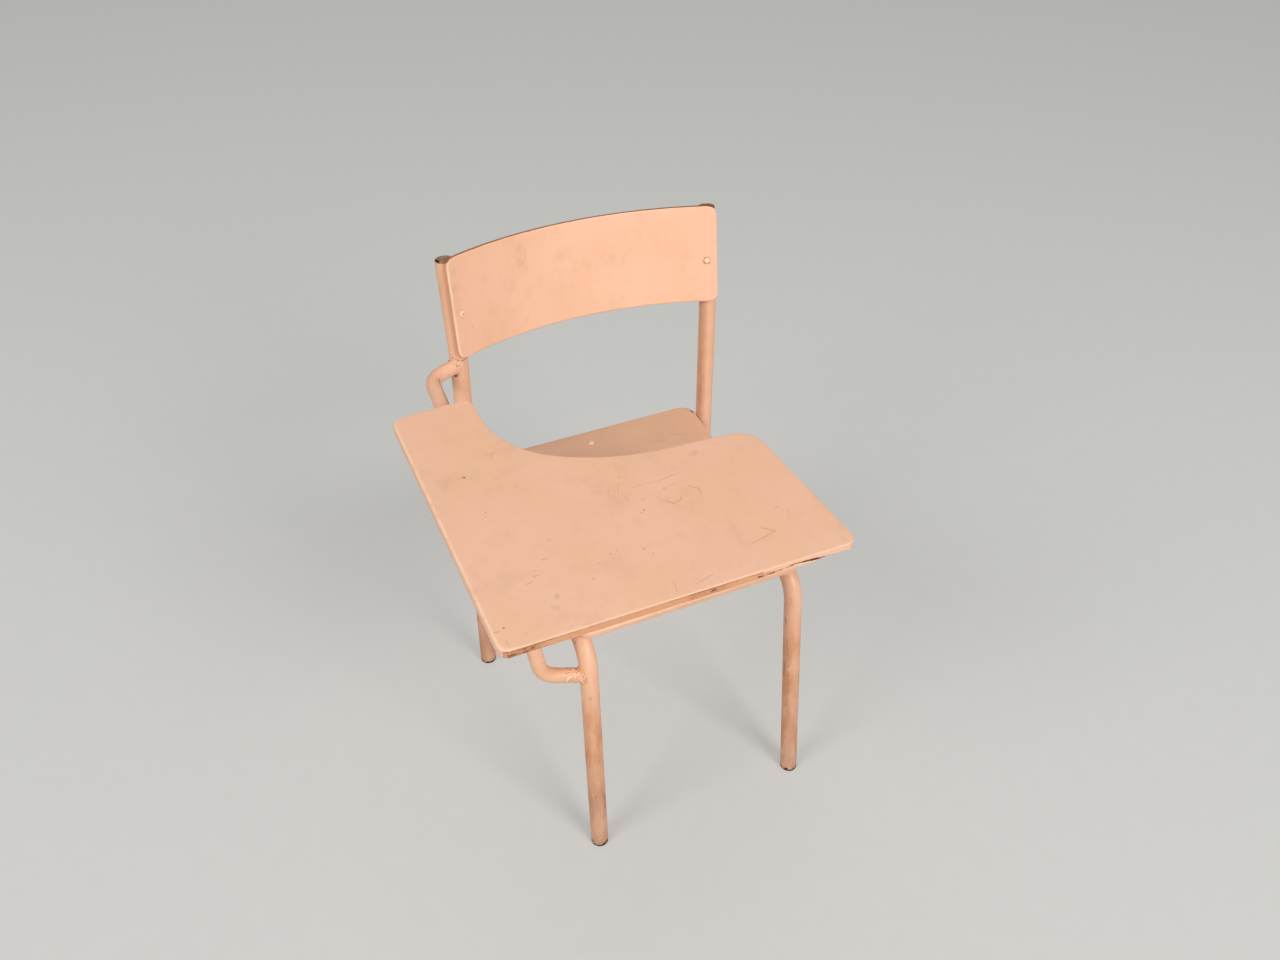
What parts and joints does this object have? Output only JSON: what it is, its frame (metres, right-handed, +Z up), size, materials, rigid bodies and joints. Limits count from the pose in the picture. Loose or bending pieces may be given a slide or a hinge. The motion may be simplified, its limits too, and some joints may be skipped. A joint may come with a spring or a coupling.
{
  "type": "tablet arm school chair",
  "caption": "School chair with a right-hand writing tablet: curved backrest and flat seat of painted plywood on a welded frame of bent steel tube, its paint worn, chipped and peeling.",
  "frame": {"origin": "on the floor, under the centre of the whole chair's box", "axes": "+Z up; the sitter faces -Y; the sitter's right hand and the tablet's arm are towards -X"},
  "size_m": [0.5257, 0.5892, 0.7521],
  "materials": {
    "frame_paint": "old satin paint, dirty and chipped",
    "seat_paint": "plywood under worn satin paint",
    "backrest_paint": "plywood under worn satin paint",
    "tablet_paint": "plywood under scratched paint that peels at the front edge",
    "rivet_paint": "painted rivet heads",
    "screw_steel": "dull steel",
    "cap_plastic": "worn brown cap with scraps of paint",
    "glide_rubber": "dirty matte"
  },
  "bodies": {
    "root": {"front_leg_right": "frame_paint", "front_leg_left": "frame_paint", "rear_leg_right": "frame_paint", "rear_leg_left": "frame_paint", "rear_cross_bar": "frame_paint", "front_cross_bar": "frame_paint", "tablet_support_tube": "frame_paint", "seat_panel": "seat_paint", "backrest_panel": "backrest_paint", "writing_tablet": "tablet_paint", "seat_rivet_rear": "rivet_paint", "seat_rivet_right": "rivet_paint", "seat_rivet_left": "rivet_paint", "backrest_rivet_right": "rivet_paint", "backrest_rivet_left": "rivet_paint", "tablet_screw_front": "screw_steel", "tablet_screw_middle": "screw_steel", "tablet_screw_rear": "screw_steel", "upright_cap_right": "cap_plastic", "upright_cap_left": "cap_plastic", "glide_front_right": "glide_rubber", "glide_front_left": "glide_rubber", "glide_rear_right": "glide_rubber", "glide_rear_left": "glide_rubber"}
  },
  "joints": []
}
